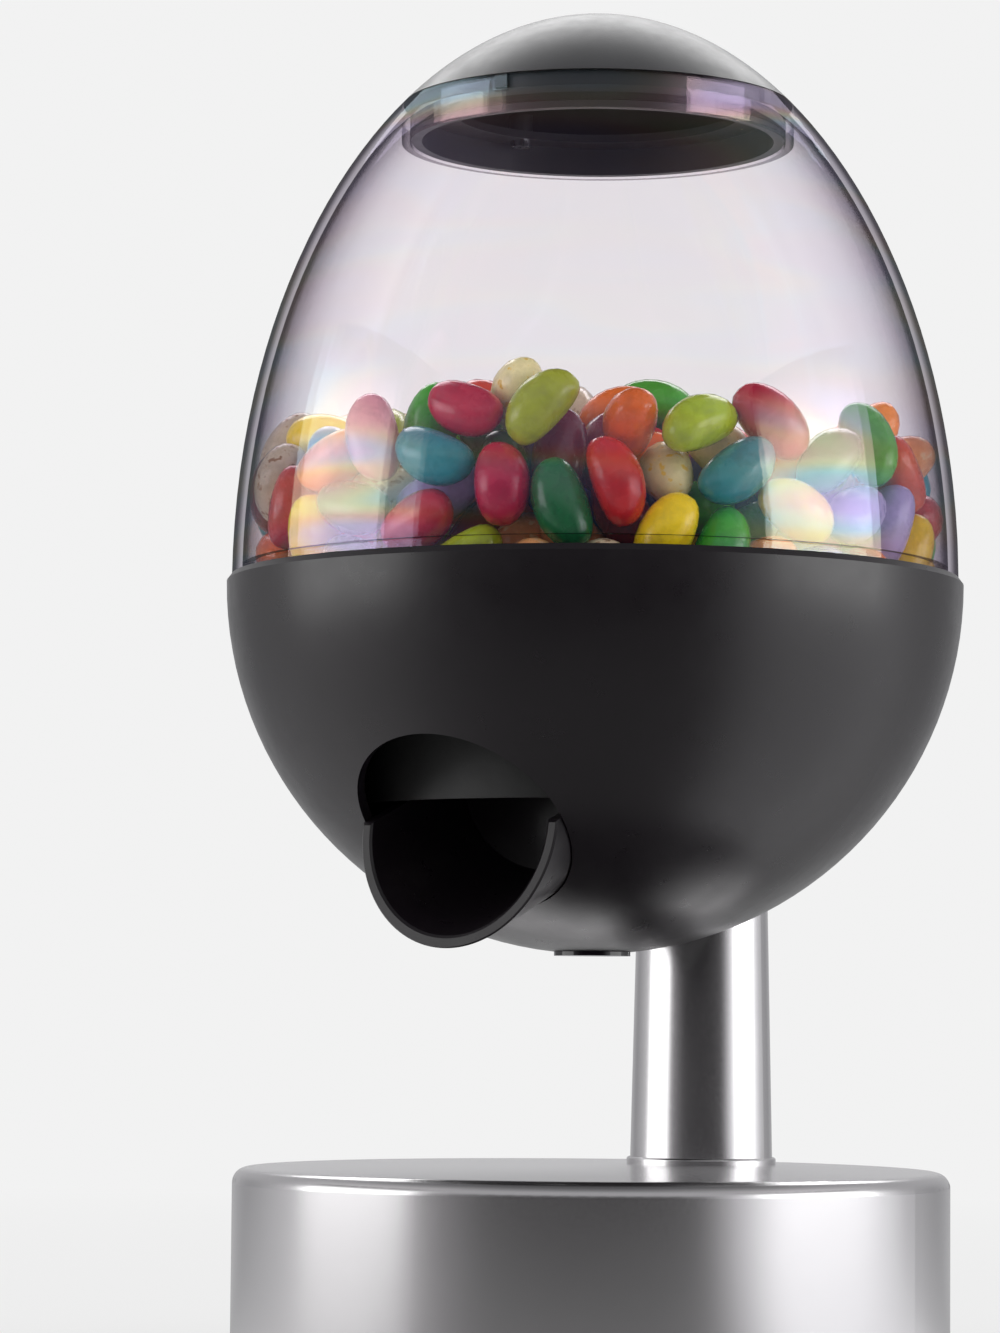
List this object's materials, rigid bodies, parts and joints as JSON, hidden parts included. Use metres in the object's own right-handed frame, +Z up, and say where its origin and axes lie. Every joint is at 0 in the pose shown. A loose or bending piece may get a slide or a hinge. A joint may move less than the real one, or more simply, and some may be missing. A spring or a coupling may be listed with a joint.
{
  "type": "electronic candy dispenser",
  "caption": "Touch-free egg-shaped candy dispenser: clear hopper dome with a lift-off lid on a dark bowl with a spout, held by an offset column on a battery drum.",
  "frame": {"origin": "centre of the footprint, on the surface the dispenser stands on", "axes": "+Z up, -Y towards the outlet, +Y towards the column"},
  "size_m": [0.145, 0.145, 0.268],
  "materials": {
    "black_shell": "satin",
    "dark_lid": "satin",
    "clear_plastic": "polished clear",
    "polished_steel": "polished",
    "black_plastic": "moulded",
    "dark_plastic": "gloss",
    "rubber": "matte",
    "steel": "machined",
    "gear_plastic": "moulded",
    "circuit_board": "lacquered",
    "contact_metal": "plated",
    "cell_jacket": "printed sleeve left plain",
    "window": "gloss",
    "candy": "glazed sugar"
  },
  "bodies": {
    "housing": {"base_shell": "polished_steel", "base_plate": "black_plastic", "rubber_feet": "rubber", "base_screws": "steel", "battery_box": "black_plastic", "battery_cells": "cell_jacket", "battery_contacts": "contact_metal", "power_board": "circuit_board", "power_board_screws": "steel", "switch_body": "dark_plastic", "stem": "polished_steel", "stem_bead": "polished_steel", "stem_foot_plug": "steel", "stem_foot_screws": "steel", "stem_top_plug": "steel", "stem_nipple": "steel", "stem_washer": "steel", "stem_nut": "steel", "bowl_shell": "black_shell", "sensor_window": "window", "sensor_board": "circuit_board", "sensor_board_screws": "steel", "ir_emitter": "dark_plastic", "ir_receiver": "dark_plastic", "hopper_funnel": "black_plastic", "funnel_screws": "steel", "drop_shield": "black_plastic", "shield_screws": "steel", "drop_hood": "black_plastic", "hood_screws": "steel", "outlet_trough": "black_shell", "trough_screws": "steel", "shaft_bush": "contact_metal", "idler_pin": "steel", "motor_body": "steel", "motor_plate": "steel", "motor_plate_screws": "steel", "gear_cover": "black_plastic", "gear_cover_screws": "steel", "main_board": "circuit_board", "main_board_screws": "steel", "board_components": "dark_plastic", "lead_connectors": "gear_plastic", "supply_lead": "contact_metal", "clear_dome": "clear_plastic", "candy_fill": "candy"},
    "wheel": {"portion_wheel": "gear_plastic", "agitator": "gear_plastic", "rotor_shaft": "steel", "output_gear": "gear_plastic"},
    "idler": {"idler_gear": "gear_plastic"},
    "motor_rotor": {"motor_shaft": "steel", "motor_pinion": "contact_metal"},
    "lid": {"lid_cap": "dark_lid", "lid_plug": "dark_lid", "lid_gasket": "rubber", "lid_screws": "steel"},
    "switch": {"switch_slider": "dark_plastic"},
    "battery_hatch": {"battery_door": "black_plastic", "door_screw": "steel"}
  },
  "joints": [
    {"name": "lid_lift", "type": "slide", "parent": "housing", "child": "lid", "axis": [0, 0, 1], "range_m": [0, 0.05]},
    {"name": "wheel_spin", "type": "hinge", "parent": "housing", "child": "wheel", "pos_m": [0, 0, 0.125], "axis": [0, 0, 1], "continuous": true},
    {"name": "idler_spin", "type": "hinge", "parent": "housing", "child": "idler", "pos_m": [0.01365, 0.01365, 0.115], "axis": [0, 0, 1], "continuous": true},
    {"name": "motor_spin", "type": "hinge", "parent": "housing", "child": "motor_rotor", "pos_m": [0.03408, 0.03408, 0.115], "axis": [0, 0, 1], "continuous": true},
    {"name": "switch_slide", "type": "slide", "parent": "housing", "child": "switch", "axis": [1, 0, 0], "range_m": [0, 0.004]},
    {"name": "battery_door_drop", "type": "slide", "parent": "housing", "child": "battery_hatch", "axis": [0, 0, -1], "range_m": [0, 0.03]}
  ],
  "couplings": [
    {"joint": "idler_spin", "follows": "wheel_spin", "ratio": -3},
    {"joint": "motor_spin", "follows": "wheel_spin", "ratio": 15}
  ]
}
